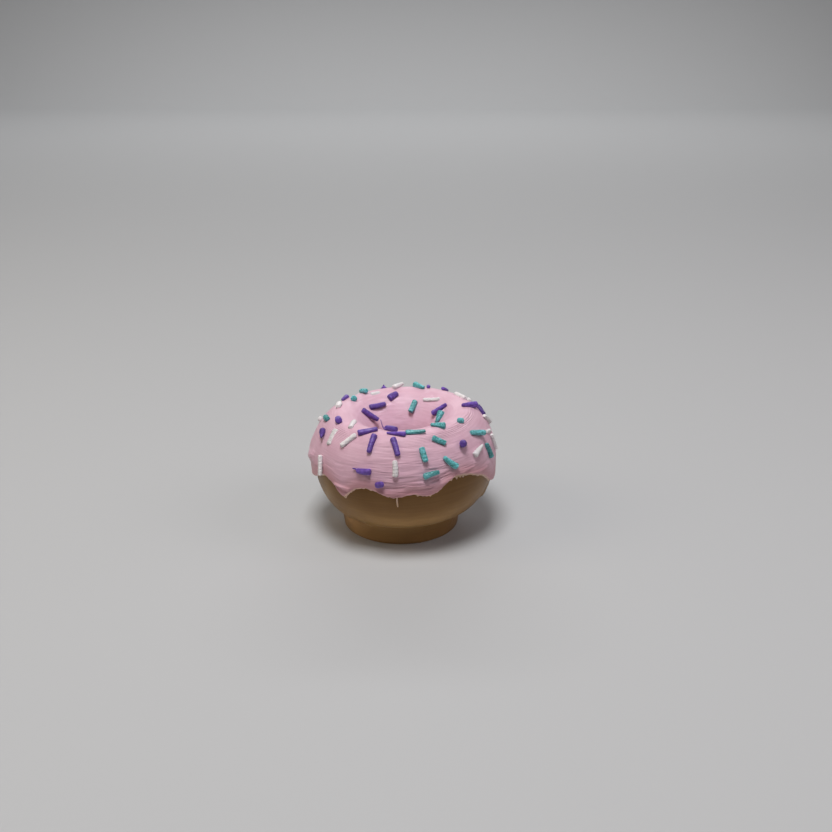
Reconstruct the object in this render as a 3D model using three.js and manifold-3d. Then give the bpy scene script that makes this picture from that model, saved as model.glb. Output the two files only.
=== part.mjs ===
// A toy ring doughnut, printed in plastic: a brown ring that leans a little on a short round foot,
// and a thin coat of icing that drips down its side, with sprinkles lying in it.
// Millimetres and degrees, +Z up. The origin is on the surface the foot stands on, below the
// middle of the ring. An angle around the ring is 0 at the front, -Y, and grows towards +X. An
// angle down the ring is 0 on the crown, 90 at the widest place outside, -90 in the hole and 180
// underneath.

import * as THREE from 'three';
import { ParametricGeometry } from 'three/addons/geometries/ParametricGeometry.js';
import { mergeVertices } from 'three/addons/utils/BufferGeometryUtils.js';
import Module from 'manifold-3d';

const wasm = await Module();
wasm.setup();

// The ring.
const ringRadius = 17.6;		// from the axis of the hole to the middle of the section
const ringHalfWidth = 8.6;
const crownHeight = 12.7;		// from the widest level up to the crown
const bellyDepth = 15.0;		// from the widest level down to the underside
const sectionPower = 1.92;		// 2 makes the section a pure ellipse
const ringLevel = 21.4;			// the widest level, above the surface
const ringLean = - 2;			// turn about +Y, so the left side lies lower
const ringSlices = 56;
const sectionSlices = 24;

// The foot: a plain round collar that the ring is fused to.
const footShift = - 0.85;		// the foot stands a little to the left of the ring
const footRadius = 16.9;
const footTopRadius = 18.2;
const footHoleRadius = 13.0;
const footHoleTopRadius = 14.6;
const footTop = 10.0;			// inside the ring, whose underside is lower
const footSlices = 56;

// The icing, a shell over the ring.
const icingTop = 1.0;			// its outer skin, above the dough
const icingRim = 0.75;			// the same where the skin rounds off at its edges
const icingClearance = 0.4;		// between the dough and the shell
const icingSlices = 84;
const outerSkinPoints = 16;
const innerSkinPoints = 14;

// Places where the coat is thicker or thinner: a sharp fold on the left and a thin right side, each
// one [ around, down, extra height, half its width around, half its width down ].
const swells = [
	[ - 86, 91, 1, 18, 13 ],
	[ 86, 70, - 0.35, 35, 45 ],
];

// The icing's edge in the hole, and its edge outside: a level line with drips and notches on it,
// each one [ around, how much further down, half its width ].
const holeEdge = - 98;
const holeEdgeWave = 5;
const holeEdgeWaves = 3;
const outerEdgeLevel = 88;
const drips = [
	[ - 168, 9, 11 ],
	[ - 142, 16, 7 ],
	[ - 116, - 6, 8 ],
	[ - 96, 13, 9 ],
	[ - 70, 10, 9 ],
	[ - 38, 17, 6 ],
	[ - 4, 10, 9 ],
	[ 13, 10, 8 ],
	[ 33, - 7, 7 ],
	[ 74, 25, 15 ],
	[ 108, - 4, 8 ],
	[ 128, 12, 8 ],
	[ 158, 15, 8 ],
];

// Sprinkles are six-sided rods with blunt ends, sunk a little into the icing.
const rodRadius = 0.75;
const rodEnd = 0.4;				// length of the tapered tip
const rodSides = 6;
const rodSeat = 0.35;			// a lying rod's axis, above the outer skin
const rodBurial = 0.9;			// how deep the lower end of a rod that stands straight up goes
const rodClearance = 0.55;		// no rod reaches nearer to the dough

// The sprinkles in front and on the crown, placed by hand, each one
// [ around, down, turn in the surface, length, tilt out of the surface ].
const purpleRods = [
	[ - 161, 14, - 56, 3.5, 0 ],
	[ - 123, 15, - 16, 4, 0 ],
	[ - 168, - 23, - 29, 3.5, 0 ],
	[ - 141, - 35, - 174, 5.3, 4 ],
	[ - 116, - 43, - 113, 5.3, 12 ],
	[ - 67, 10, 11, 3.5, 12 ],
	[ - 68, 41, 24, 4.8, 12 ],
	[ - 29, 8, - 37, 5.2, 0 ],
	[ - 21, 30, - 88, 5.2, 0 ],
	[ - 9, - 9, 20, 4, 0 ],
	[ - 4, 9, 8, 5.3, 0 ],
	[ - 4, 33, 73, 5.2, 0 ],
	[ - 24, 68, 0, 4.7, 4 ],
	[ - 13, 81, - 36, 3.5, 25 ],
	[ 114, - 35, - 64, 5.2, 4 ],
	[ 155, 8, 67, 3.5, 0 ],
	[ 141, 16, 78, 5, 0 ],
	[ 93, 11, 66, 5.2, 7 ],
	[ 98, 33, - 27, 5, 0 ],
	[ 42, 46, 175, 3.3, 35 ],
];
const tealRods = [
	[ - 142, 7, - 76, 4.8, 8 ],
	[ - 123, - 3, - 35, 3.4, 10 ],
	[ - 83, 25, - 12, 3.5, 4 ],
	[ 164, 5, 40, 5, 0 ],
	[ 164, - 42, - 77, 3.9, 8 ],
	[ 97, - 44, - 158, 5, 17 ],
	[ 35, 0, 49, 4.5, 0 ],
	[ 12, 8, 9, 5.4, 4 ],
	[ 57, 13, 157, 3.4, 15 ],
	[ 61, 42, 28, 5.3, 10 ],
	[ 27, 31, 38, 3.8, 0 ],
	[ 14, 49, 83, 4.3, 0 ],
	[ 31, 63, 45, 4.9, 0 ],
	[ 17, 72, - 11, 4.6, 0 ],
	[ 66, 71, 77, 4.9, 0 ],
];
const whiteRods = [
	[ - 176, 7, 128, 5, 6 ],
	[ - 150, - 7, - 2, 3, 0 ],
	[ - 106, 11, - 60, 3.5, 15 ],
	[ - 98, 43, - 18, 3.5, 0 ],
	[ - 52, - 1, 48, 5.4, 0 ],
	[ - 57, 32, 37, 4.7, 23 ],
	[ - 40, 32, - 57, 5.2, 0 ],
	[ - 58, 77, 72, 5.4, 5 ],
	[ - 4, 62, 89, 4.4, 0 ],
	[ 140, - 25, - 16, 5.4, 0 ],
	[ 119, 12, - 7, 5, 0 ],
	[ 114, 24, 25, 3.5, 0 ],
	[ 93, 47, 52, 5, 0 ],
	[ 78, 53, 16, 3.5, 3 ],
	[ 79, 70, 85, 5, 0 ],
	[ 54, 62, - 18, 4.9, 4 ],
];

// The sprinkles on the rest of the outside, spread evenly by the golden angle.
const backCount = 18;
const backFrom = 114;
const backSpan = 132;
const backHighest = 34;
const backLowest = 84;
const backLength = 5;
const goldenAngle = 137.5;

// Colours.
const doughColour = 0x6a4e31;
const icingColour = 0xd9a5ba;

const { degToRad } = THREE.MathUtils;

// A point on the ring at two angles, at a height above the dough, in the ring's own frame.
function ringPoint( around, down, height, target = new THREE.Vector3() ) {

	const sine = Math.sin( degToRad( down ) );
	const cosine = Math.cos( degToRad( down ) );
	const sum = Math.abs( sine ) ** sectionPower + Math.abs( cosine ) ** sectionPower;
	const stretch = sum ** ( - 1 / sectionPower );
	const halfHeight = cosine > 0 ? crownHeight : bellyDepth;
	const radius = ringRadius + ( ringHalfWidth + height ) * sine * stretch;
	const side = radius * Math.sin( degToRad( around ) );
	const front = - radius * Math.cos( degToRad( around ) );
	return target.set( side, front, ( halfHeight + height ) * cosine * stretch );

}

// A closed geometry as a solid. Faces that shrink to nothing at a pole are left out.
function toSolid( geometry ) {

	geometry.deleteAttribute( 'normal' );
	geometry.deleteAttribute( 'uv' );
	const merged = mergeVertices( geometry );
	const corners = merged.index.array;
	const triVerts = [];
	for ( let i = 0; i < corners.length; i += 3 ) {

		const [ a, b, c ] = corners.slice( i, i + 3 );
		if ( a !== b && b !== c && c !== a ) triVerts.push( a, b, c );

	}

	return new wasm.Manifold( new wasm.Mesh( {
		numProp: 3,
		vertProperties: merged.attributes.position.array,
		triVerts: new Uint32Array( triVerts ),
	} ) );

}

// A solid as a named piece in one colour.
function toMesh( solid, name, material ) {

	const { vertProperties, triVerts } = solid.getMesh();
	const geometry = new THREE.BufferGeometry();
	geometry.setAttribute( 'position', new THREE.BufferAttribute( vertProperties, 3 ) );
	geometry.setIndex( new THREE.BufferAttribute( triVerts, 1 ) );
	geometry.computeVertexNormals();
	const mesh = new THREE.Mesh( geometry, material );
	mesh.name = name;
	return mesh;

}

// The whole ring as a closed surface, at a height above the dough.
function ringGeometry( height ) {

	const surface = ( u, v, target ) => ringPoint( - 360 * u, 360 * v, height, target );
	return new ParametricGeometry( surface, ringSlices, sectionSlices );

}

// The collar under the ring, an open tube with a wall that widens upwards.
function footGeometry() {

	const profile = [
		new THREE.Vector2( footHoleRadius, 0 ),
		new THREE.Vector2( footRadius, 0 ),
		new THREE.Vector2( footTopRadius, footTop ),
		new THREE.Vector2( footHoleTopRadius, footTop ),
		new THREE.Vector2( footHoleRadius, 0 ),
	];
	return new THREE.LatheGeometry( profile, footSlices ).rotateX( Math.PI / 2 ).translate( footShift, 0, 0 );

}

function makeDough() {

	const ring = ringGeometry( 0 ).rotateY( degToRad( ringLean ) ).translate( 0, 0, ringLevel );
	const solid = toSolid( ring ).add( toSolid( footGeometry() ) );
	const material = new THREE.MeshStandardMaterial( { color: doughColour, roughness: 0.45, metalness: 0 } );
	return toMesh( solid, 'dough', material );

}

// A smooth hump: 1 at its middle, fading out a little past its half width.
function hump( apart, halfWidth ) {

	const nearest = THREE.MathUtils.euclideanModulo( apart + 180, 360 ) - 180;
	return Math.exp( - ( ( nearest / halfWidth ) ** 2 ) );

}

// How far down the outside the icing reaches.
function outerEdge( around ) {

	const lengths = drips.map( ( [ at, extra, halfWidth ] ) => extra * hump( around - at, halfWidth ) );
	return lengths.reduce( ( sum, length ) => sum + length, outerEdgeLevel );

}

// The height of the icing's outer skin above the dough.
function coatHeight( around, down ) {

	let height = icingTop;
	for ( const [ atAround, atDown, extra, halfAround, halfDown ] of swells ) {

		height += extra * hump( around - atAround, halfAround ) * hump( down - atDown, halfDown );

	}

	return height;

}

// The shell of icing. Each slice is a loop: out along the outer skin from the hole's edge to the
// outer edge, and back along the inner skin.
function shellGeometry() {

	const loopPoints = outerSkinPoints + innerSkinPoints;
	const surface = ( u, v, target ) => {

		const around = - 360 * u;
		const first = holeEdge + holeEdgeWave * Math.cos( degToRad( around * holeEdgeWaves ) );
		const last = outerEdge( around );
		const point = Math.round( v * loopPoints ) % loopPoints;
		if ( point >= outerSkinPoints ) {

			const way = ( point - outerSkinPoints ) / ( innerSkinPoints - 1 );
			return ringPoint( around, THREE.MathUtils.lerp( last, first, way ), icingClearance, target );

		}

		const way = point / ( outerSkinPoints - 1 );
		const down = THREE.MathUtils.lerp( first, last, way );
		const height = way === 0 || way === 1 ? icingRim : coatHeight( around, down );
		return ringPoint( around, down, height, target );

	};

	return new ParametricGeometry( surface, icingSlices, loopPoints );

}

// One sprinkle, lying in the icing or standing up out of it.
function rodGeometry( around, down, turn, length, tilt ) {

	const profile = [
		new THREE.Vector2( 0, - length / 2 ),
		new THREE.Vector2( rodRadius, rodEnd - length / 2 ),
		new THREE.Vector2( rodRadius, length / 2 - rodEnd ),
		new THREE.Vector2( 0, length / 2 ),
	];
	const near = ( aroundStep, downStep ) => ringPoint( around + aroundStep, down + downStep, icingTop );
	const along = near( 1, 0 ).sub( near( - 1, 0 ) ).normalize();
	const below = near( 0, 1 ).sub( near( 0, - 1 ) ).normalize();
	const out = along.clone().cross( below ).negate();
	const flat = along.multiplyScalar( Math.cos( degToRad( turn ) ) );
	flat.addScaledVector( below, Math.sin( degToRad( turn ) ) );
	const level = Math.cos( degToRad( tilt ) );
	const rise = Math.sin( degToRad( tilt ) );
	const axis = flat.multiplyScalar( level ).addScaledVector( out, rise );
	const lowerEnd = rodSeat * level - rodBurial * rise;
	const centre = ringPoint( around, down, coatHeight( around, down ) ).addScaledVector( out, lowerEnd + rise * length / 2 );
	const turned = new THREE.Quaternion().setFromUnitVectors( new THREE.Vector3( 0, 1, 0 ), axis );
	const rod = new THREE.LatheGeometry( profile, rodSides );
	return rod.applyQuaternion( turned ).translate( centre.x, centre.y, centre.z );

}

function backRods() {

	const rods = [];
	for ( let i = 0; i < backCount; i ++ ) {

		const around = backFrom + backSpan * ( ( i * goldenAngle / 360 ) % 1 );
		const down = THREE.MathUtils.lerp( backHighest, backLowest, ( i + 0.5 ) / backCount );
		rods.push( [ around, down, - i * goldenAngle, backLength, 0 ] );

	}

	return rods;

}

function makeIcing() {

	const rods = [ ...purpleRods, ...tealRods, ...whiteRods, ...backRods() ];
	const rodSolids = rods.map( ( rod ) => toSolid( rodGeometry( ...rod ) ) );
	const sprinkles = rodSolids.reduce( ( all, rod ) => all.add( rod ) );
	const clear = sprinkles.subtract( toSolid( ringGeometry( rodClearance ) ) );
	const solid = toSolid( shellGeometry() ).add( clear );
	const material = new THREE.MeshStandardMaterial( { color: icingColour, roughness: 0.4, metalness: 0 } );
	const icing = toMesh( solid, 'icing', material );
	icing.rotation.y = degToRad( ringLean );
	icing.position.z = ringLevel;
	return icing;

}

const doughnut = new THREE.Group();
doughnut.add( makeDough() );
doughnut.add( makeIcing() );

export default doughnut;
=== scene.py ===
"""A toy ring doughnut in printed plastic: a brown ring on a round foot, a coat of pink icing that
drips down its side, and small rod sprinkles.

Metres, +Z up. An angle around the ring is 0 at the front, -Y, and grows towards +X. An angle down
the ring is 0 on the crown, 90 at the widest place outside, -90 in the hole and 180 underneath.
Tables give angles in degrees and, but for the lamps, lengths in millimetres.
"""

from typing import NamedTuple

import bpy
import numpy as np
from bpy.props import FloatProperty, FloatVectorProperty, IntProperty, PointerProperty
from mathutils import Matrix, Vector


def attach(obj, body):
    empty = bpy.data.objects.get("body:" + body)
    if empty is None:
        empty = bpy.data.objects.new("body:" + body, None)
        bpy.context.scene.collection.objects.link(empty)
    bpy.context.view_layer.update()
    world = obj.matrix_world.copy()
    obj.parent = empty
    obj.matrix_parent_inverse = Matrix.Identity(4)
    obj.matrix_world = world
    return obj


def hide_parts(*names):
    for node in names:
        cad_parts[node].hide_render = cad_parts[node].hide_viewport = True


bl_info = {
    "name": "Frosted Doughnut Toy",
    "version": (1, 0, 0),
    "blender": (4, 5, 0),
    "location": "3D View > Sidebar > Doughnut",
    "description": "Builds a printed toy doughnut with icing and sprinkles, and a plain studio",
    "category": "Object",
}

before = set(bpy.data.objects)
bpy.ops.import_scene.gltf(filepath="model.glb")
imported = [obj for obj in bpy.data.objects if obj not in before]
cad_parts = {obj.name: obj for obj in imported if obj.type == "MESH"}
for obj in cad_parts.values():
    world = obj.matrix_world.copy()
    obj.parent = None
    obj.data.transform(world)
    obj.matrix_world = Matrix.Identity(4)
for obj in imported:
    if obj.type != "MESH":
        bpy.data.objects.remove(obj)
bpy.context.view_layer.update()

MM = 0.001

# Millimetres of surface to a degree: around the ring and the foot at their widest, down the icing,
# and down the ring where the icing ends.
RING_DEGREE = 0.46
FOOT_DEGREE = 0.3
ICING_DEGREE = 0.24
EDGE_DEGREE = 0.26

# Places where the coat is thicker or thinner, and by how much:
# around, half as wide as, down, half as high as, extra height.
SWELLS = (
    (-86, 18, 75, 10, 0.45),
    (-80, 14, 108, 8, 0.3),
    (86, 35, 70, 45, -0.35),
    (78, 12, 111, 8, 0.55),
)

# Where the ends of the layers show as steps on the crown, with painted shade in their grooves,
# in the same way, and how much they show.
RIDGED = (
    (64, 32, 15, 9, 1.0),
    (26, 22, 23, 9, 0.9),
    (-4, 24, 34, 12, 0.38),
    (-50, 13, 24, 10, 0.7),
    (150, 40, 28, 14, 0.7),
    (-140, 25, 33, 10, 0.6),
)

# Where the layers of the icing are more uneven than elsewhere: around, half as wide as, how much.
ROUGHER = ((0, 27, 0.8), (36, 22, 0.4), (-150, 60, 0.5), (-50, 15, -0.12))

# Where the fringe is wider than elsewhere, and by how many degrees down, in the same way.
WIDER = ((38, 7, 0.9), (52, 14, 0.35), (-38, 4, 1.1), (-56, 9, 0.6))

# Tiny beads of plastic that hang from the fringe, and how far down, in the same way.
BURRS = (
    (30.5, 0.7, 2), (34.2, 0.8, 3.6), (36.8, 0.5, 2.2), (39, 0.6, 2.6), (-38, 1.2, 2),
    (-19.5, 0.7, 1.6), (8.5, 0.8, 1.4), (16.5, 0.7, 1.8), (71, 0.9, 2), (-81, 0.8, 1.8),
    (-104, 0.7, 2.2), (-131, 0.8, 1.8), (141, 0.7, 2.2), (176, 0.8, 1.6),
)

# The icing's outer edge all the way around, from drip to notch and on: around, down.
EDGE = (
    (-176, 93), (-170, 96.5), (-165, 96.5), (-159, 92.5), (-152, 91), (-146, 99.5), (-142, 104),
    (-138, 99.5), (-132, 90), (-125, 86.5), (-118, 82.5), (-113, 83), (-108, 88), (-103, 94.5),
    (-98, 99), (-93, 101), (-88, 103), (-84, 104.5), (-79, 104), (-74, 101.5), (-69, 98.5), (-64, 95),
    (-60, 91.5), (-56, 88.5), (-53, 88), (-50, 90.5), (-47, 92.5), (-44, 97.5), (-42, 101),
    (-40.2, 103), (-38.7, 105), (-37.2, 102.5), (-36, 100.5), (-34, 98), (-31, 94), (-28, 91), (-25, 90),
    (-22, 89), (-19, 90), (-16, 91.5), (-13, 93.5), (-10, 96), (-6, 98), (-2, 97), (2, 95.5), (5, 94.5),
    (8, 95), (11, 97), (14, 98), (16.5, 97.5), (19, 96.5), (21.5, 94.5), (24, 91), (26.5, 87),
    (29, 84.5), (31.5, 82.5), (34, 81.5), (37, 82.5), (40, 83.5), (44, 85.5), (48, 89), (52, 92.5),
    (56, 94.5), (60, 99), (65, 105.5), (69, 110.5), (74, 113), (79, 110.5), (84, 104), (89, 97),
    (94, 92), (99, 88.5), (104, 85), (108, 84), (112, 85), (118, 89.5), (124, 97.5), (128, 100),
    (132, 97.5), (138, 90.5), (145, 89), (152, 96.5), (158, 103), (164, 96.5), (172, 89),
)

# Folds in the icing: height, half width, and the places that each runs through, around and down.
# A negative height is a groove.
FOLDS = (
    (0.6, 1.2, (-96, 95), (-73, 76)),
    (0.18, 0.5, (17, 90), (31, 82)),
    (-0.14, 0.32, (19, 77), (30, 73)),
    (-0.14, 0.32, (20, 81), (29, 77)),
    (-0.12, 0.3, (17, 82), (26, 75)),
    (-0.1, 0.28, (20, 85), (30, 79)),
    (0.12, 0.3, (16, 86), (22, 81)),
    (0.1, 0.3, (22, 86), (27, 84.5)),
    (-0.13, 0.3, (16, 67), (28, 69)),
    (-0.07, 0.3, (13, 67), (24, 66)),
    (-0.06, 0.35, (8, 56), (17, 63)),
    (-0.07, 0.35, (17, 63), (29, 62)),
    (0.05, 0.4, (35, 45), (43, 46)),
    (0.08, 0.4, (36, 53), (44, 53)),
    (0.16, 0.35, (37, 79), (47, 78)),
    (-0.08, 0.25, (41, 81), (50, 85)),
    (0.14, 0.35, (50, 89), (60, 88), (66, 86)),
    (-0.12, 0.45, (50, 84), (62, 81)),
    (0.12, 0.35, (57, 92), (67, 98)),
    (-0.14, 0.4, (66, 81), (73, 98)),
    (0.5, 0.38, (-44, 92), (-33, 93)),
    (-0.3, 0.3, (-46, 94), (-36, 97.5)),
    (-0.06, 0.35, (-45, 66), (-33, 64), (-20, 59)),
    (0.28, 0.28, (-14, 91.5), (1, 92.5)),
    (0.2, 0.25, (-13, 94), (-2, 95)),
    (0.12, 0.25, (-12, 89.3), (3, 90)),
    (-0.1, 0.3, (-14, 87.5), (1, 85.5)),
    (-0.06, 0.4, (-58, 74), (-38, 71)),
    (-0.06, 0.4, (-116, -27), (-142, -21)),
    (-0.05, 0.3, (37, 2), (50, 11), (64, 9)),
    (-0.05, 0.3, (33, 12), (50, 18), (72, 10)),
    (-0.05, 0.3, (28, 19), (44, 24), (65, 19), (80, 14)),
    (-0.05, 0.3, (37, 29), (50, 29), (62, 26)),
    (-0.05, 0.3, (-13, 27), (3, 26)),
    (-0.05, 0.3, (-14, 34), (2, 34)),
    (-0.05, 0.3, (-10, 41.5), (2, 41)),
    (-0.05, 0.3, (-12, 48), (4, 48)),
    (-0.1, 0.4, (118, 78), (138, 88)),
    (0.1, 0.4, (150, 84), (168, 76)),
    (0.1, 0.4, (-150, 82), (-134, 90)),
    (-0.07, 0.4, (-176, 70), (-160, 64)),
)

# Marks that the print left on the ring, as in FOLDS.
RING_MARKS = (
    (0.5, 1.1, (84, 122), (70, 134)),
    (0.1, 0.28, (79, 108), (77, 121), (71, 135)),
    (0.07, 0.24, (83, 112), (79, 128), (74, 138)),
    (0.18, 0.22, (46, 146), (50, 148.5)),
    (0.6, 0.3, (-30, 153.5), (-26, 155.5)),
    (0.3, 0.22, (-26, 155.5), (-23.5, 156)),
    (0.08, 0.25, (-152, 112), (-150, 140)),
)

# Marks on the foot, as in FOLDS, but each place is degrees around and millimetres up.
FOOT_MARKS = (
    (0.2, 0.3, (19, 0), (19, 9)),
    (0.08, 0.2, (57, 2.6), (66, 6.6)),
    (0.07, 0.25, (-140, 0), (-140, 9)),
)


class Rod(NamedTuple):
    """A sprinkle, with the columns of the tables below. A taper or narrowness that isn't given is
    drawn at random."""

    around: float
    down: float
    turn: float  # in the surface
    size: float  # its length
    tilt: float  # out of the surface
    # The tone is painted light and shade: the whole rod lighter where it catches more light, darker where
    # it lies in shade.
    tone: float = 0  # how much lighter than usual it is, or darker below 0
    girth: float = 1
    taper: float | None = None  # how much wider it gets towards its front end
    sunk: float = 0
    narrow: float | None = None  # how much narrower its ends are


PURPLE_RODS = (
    (-163, 12, -90, 2, 65, 1.1, 1.05, -0.6),
    (-123, 17, -16, 3.7, 0, 0.4, 1, -0.3),
    (-168, -23, -29, 3.5, 0, -0.1, 1.45, 0.1),
    (-141, -35, -174, 5.6, 4, -0.55, 1.2, -0.1),
    (-116, -43, -113, 5.8, 12, -0.35, 1.15, -0.1),
    (-67, 10, 11, 3.6, 12, 0.3, 1.35),
    (-68, 42, 24, 3.9, 14, -0.7, 1.12, -0.42),
    (-29, 8, -37, 5.7, 0, 0.1, 1.1, -0.15),
    (-21, 30, -88, 5.7, 0, 0, 1.12, 0.12),
    (-10, -8, 34, 4.1, 2, -0.2, 1.45),
    (-4, 9, 8, 5.4, 2, 0.8, 0.82, 0.35),
    (-4, 33, 73, 5.6, 0, 0, 1.15),
    (-23, 67.5, -3, 4.4, 4, 0.6, 1.2, 0.12),
    (-28.8, 66.6, 8, 1.9, 0, 0.2, 0.3, 0.2),
    (-13, 81, -25, 3, 36, 0.3, 1.2, 0),
    (114, -35, -64, 5.4, 4, 0.4, 1.1, 0.2),
    (156.5, 11, 67, 3, 0, 1.2, 0.85),
    (143, 21, 78, 4.2, 0, 1.5, 0.85),
    (93, 11, 66, 5.2, 7, 0.8, 1.1, 0.3),
    (98, 35, -27, 4.2, 0, -1.4, 1, 0.15),
    (42.9, 45.5, 175, 3.2, 42, -0.3, 1.48, 0),
)
TEAL_RODS = (
    (-142, 7, -76, 4.8, 8, 1.4, 1.15),
    (-123, -3, -35, 3.2, 10, 1.6, 1.14, 0.3),
    (-83, 25, -12, 3.5, 4, 0.2, 1.2),
    (164, 5, 40, 5, 0, 1, 1.2, 0.35),
    (164, -42, -77, 4.1, 8, 0, 1.2),
    (97, -43.4, -134, 4, 8, -0.1, 1.35, -0.42),
    (35, 0.8, 49, 4.3, 0, 0.65, 1.15, 0.35),
    (12, 8, 9, 5.6, 4, 0.4, 0.9, -0.2),
    (57.3, 11.8, 39, 1.95, 0, 1, 1.15, 0),
    (61, 42, 28, 5.4, 10, 0.85, 1.1),
    (27, 31, 38, 4.1, 0, 0.5, 1.1, -0.1),
    (14, 46.8, 83, 4.3, 4, 0.55, 1.22),
    (30.2, 62.5, 47, 5, 3, 1.3, 1.15, 0.2),
    (17, 72, -11, 4.7, 5, -0.2, 1.1, -0.2),
    (66, 71, 77, 4.9, 0, -0.2, 1.05),
)
WHITE_RODS = (
    (-176, 7, 128, 5, 6, 0, 1.1, -0.15),
    (-150, -7, -2, 3.3, 0, -0.3, 1.25, 0, 0.8),
    (-103.4, 8.3, -12, 3.9, 0, 0.3, 1.4, 0, 0, 0.22),
    (-98, 43, -18, 3.5, 0, -0.2),
    (-52, -1, 48, 5.4, 0, -0.25, 1.15, 0, 0.5),
    (-57.8, 35.6, 75, 5.2, 4, -0.45, 1.85, -0.12, 1.38),
    (-40, 32, -57, 5.4, 0, 0.2, 1.1, 0, 0.15),
    (-57.6, 77, 72, 5.8, 5, 0.2),
    (-4, 62, 89, 4.6, 0, -0.1, 1.15),
    (140, -25, -16, 5.6, 0, -0.25, 0.95, 0, 0.3),
    (119, 12, -7, 5, 0, 0, 1.2, 0, 0.3),
    (114, 24, 25, 3.5, 0, -0.15, 1, 0, 0.3),
    (93, 47, 52, 5, 0),
    (78, 53, 16, 3.5, 3, -0.2, 0.85, 0, 0.3),
    (79, 70, 85, 5, 0),
    (54, 62, -18, 4.9, 4, -0.3, 1.05, -0.3),
)

# The threads, from their roots on: to the right, back, up and radius.
HANGING = (
    (0, 0, 0, 0.24),
    (0.02, -0.03, -0.6, 0.24),
    (0.02, -0.05, -1.3, 0.23),
    (0.07, 0, -2, 0.24),
    (0.16, 0.1, -2.8, 0.24),
    (0.2, 0.12, -3.3, 0.12),
)
CURLED = (
    (0.3, 0, 0, 0.28),
    (-0.5, 0, 0, 0.26),
    (-1, 0.05, 0.25, 0.22),
    (-1.35, 0.1, 0.95, 0.15),
    (-1.6, 0.2, 1.9, 0.13),
    (-1.8, 0.3, 2.7, 0.1),
)

# The lamps in metres: name, place, the point that it faces, width and height, power, tint and, where
# its light is held together, the angle that it spreads over. The bounces stand for light thrown up
# under the ring, and the last four for light from low down onto its lowest part and the foot.
WHITE = (1, 1, 1)
LAMPS = (
    ("overhead", (-0.05, -0.16, 0.79), (0, 0, 0), (0.28, 0.28), 4.7, WHITE),
    ("left_top", (-0.65, -0.1, 0.5), (0, 0, 0), (0.4, 0.4), 1.12, (1, 0.86, 0.69)),
    ("right_top", (0.65, -0.1, 0.5), (0, 0, 0), (0.4, 0.4), 1.06, (1, 0.9, 0.93)),
    ("hole_light", (0, -0.05, 0.2), (0, 0.0036, 0.03), (0.012, 0.012), 0.00031, (0.74, 0.92, 0.99), 10),
    ("sweep_light", (0, 1, 0.6), (0, 0.7, 0), (1.1, 0.1), 3.55, WHITE),
    ("front_bounce", (0, -0.033, 0.0005), (0, 0.25, 1), (0.05, 0.014), 0.0018, (0.96, 0.84, 0.72)),
    ("left_bounce", (-0.033, 0, 0.0005), (0.25, 0, 1), (0.014, 0.05), 0.0008, (1, 0.72, 0.3)),
    ("right_bounce", (0.033, 0, 0.0005), (-0.25, 0, 1), (0.014, 0.05), 0.00045, (1, 0.68, 0.3)),
    ("front_low", (0, -0.04, 0.003), (0, -0.017, 0.0105), (0.05, 0.004), 0.00051, (0.83, 1.05, 1.28), 36),
    ("front_foot", (0, -0.03, 0.003), (0, -0.017, 0.0015), (0.03, 0.002), 0.00004, WHITE, 24),
    ("left_foot", (-0.0405, -0.012, 0.0035), (-0.0162, -0.007, 0.0045), (0.02, 0.003), 0.00025, WHITE, 32),
    ("right_foot", (0.039, -0.012, 0.0035), (0.015, -0.007, 0.0045), (0.02, 0.003), 0.00006, WHITE, 32),
)


# ---------------------------------------------------------------- sizes and colours


def number(name, description, value):
    """A plain number that a user may change."""
    return FloatProperty(name=name, description=description, default=value)


def count(name, description, value):
    """A whole number that a user may change."""
    return IntProperty(name=name, description=description, default=value)


def length(name, description, value):
    """A size in metres that a user may change."""
    return FloatProperty(
        name=name, description=description, default=value, subtype="DISTANCE", unit="LENGTH", precision=5
    )


def angle(name, description, value):
    """An angle in radians that a user may change."""
    return FloatProperty(name=name, description=description, default=value, subtype="ANGLE")


def colour(name, description, value):
    """A colour that a user may change."""
    return FloatVectorProperty(
        name=name, description=description, default=value, subtype="COLOR", size=3, min=0, max=1
    )


class RingSettings(bpy.types.PropertyGroup):
    """The brown ring and its foot"""

    ring_radius: length("Ring radius", "From the axis of the hole to the middle of the section", 0.0176)
    half_width: length("Half width", "Half the width of the section", 0.0086)
    crown_height: length("Crown height", "From the widest level up to the crown", 0.0127)
    belly_depth: length("Belly depth", "From the widest level down to the underside", 0.0152)
    level: length("Level", "The widest level, above the floor", 0.0214)
    section_power: number("Section power", "2 makes the section an ellipse", 1.92)
    lean: angle("Lean", "Turn about +Y, so the left side lies lower", -0.0349066)
    foot_shift: length("Foot shift", "The foot's middle, to the right of the ring's", -0.00085)
    foot_radius: length("Foot radius", "Outside, on the floor", 0.0169)
    foot_top_radius: length("Foot top radius", "Outside, inside the ring", 0.0182)
    foot_hole_radius: length("Foot hole radius", "Inside, on the floor", 0.013)
    foot_hole_top_radius: length("Foot hole top radius", "Inside, at the top", 0.0146)
    foot_top: length("Foot top", "Height of the foot, whose top is inside the ring", 0.010)
    dough: colour("Dough", "The brown plastic", (0.206, 0.110, 0.040))
    dough_shade: colour("Dough shade", "The brown plastic where it is darker", (0.168, 0.086, 0.031))


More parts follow.
